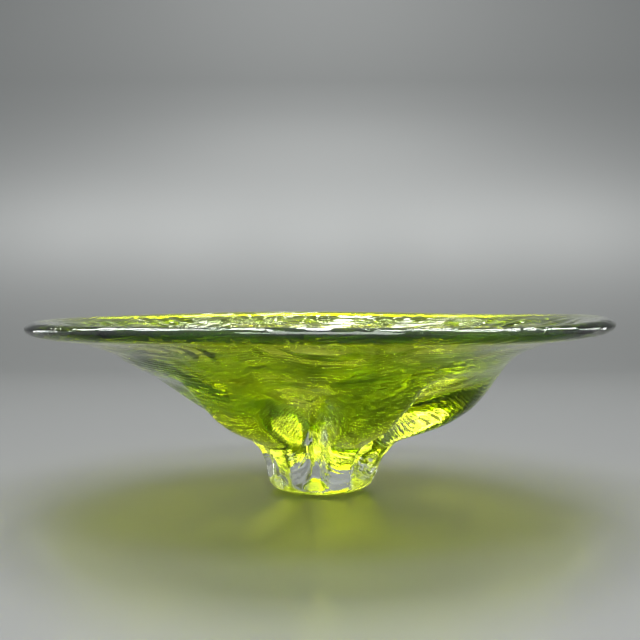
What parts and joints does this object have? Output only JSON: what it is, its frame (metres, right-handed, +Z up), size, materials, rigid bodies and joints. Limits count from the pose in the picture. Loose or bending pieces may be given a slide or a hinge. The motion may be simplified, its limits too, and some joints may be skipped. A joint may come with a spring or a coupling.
{
  "type": "art glass bowl",
  "caption": "Wide flanged art glass bowl: a green blown bowl cased in clear glass, pinched into five ribs, on a solid clear foot ground flat below.",
  "frame": {"origin": "centre of the ground flat under the foot, on the surface the bowl stands on", "axes": "+Z up out of the basin, -Y to the front, where the groove between two ribs faces, +X to the right"},
  "size_m": [0.36, 0.36, 0.1089],
  "materials": {
    "green_glass": "transparent chartreuse green glass, fire polished",
    "clear_glass": "thick clear glass, fire polished, with soft tooling ripples"
  },
  "bodies": {
    "root": {"green_bowl": "green_glass", "clear_casing": "clear_glass"}
  },
  "joints": []
}
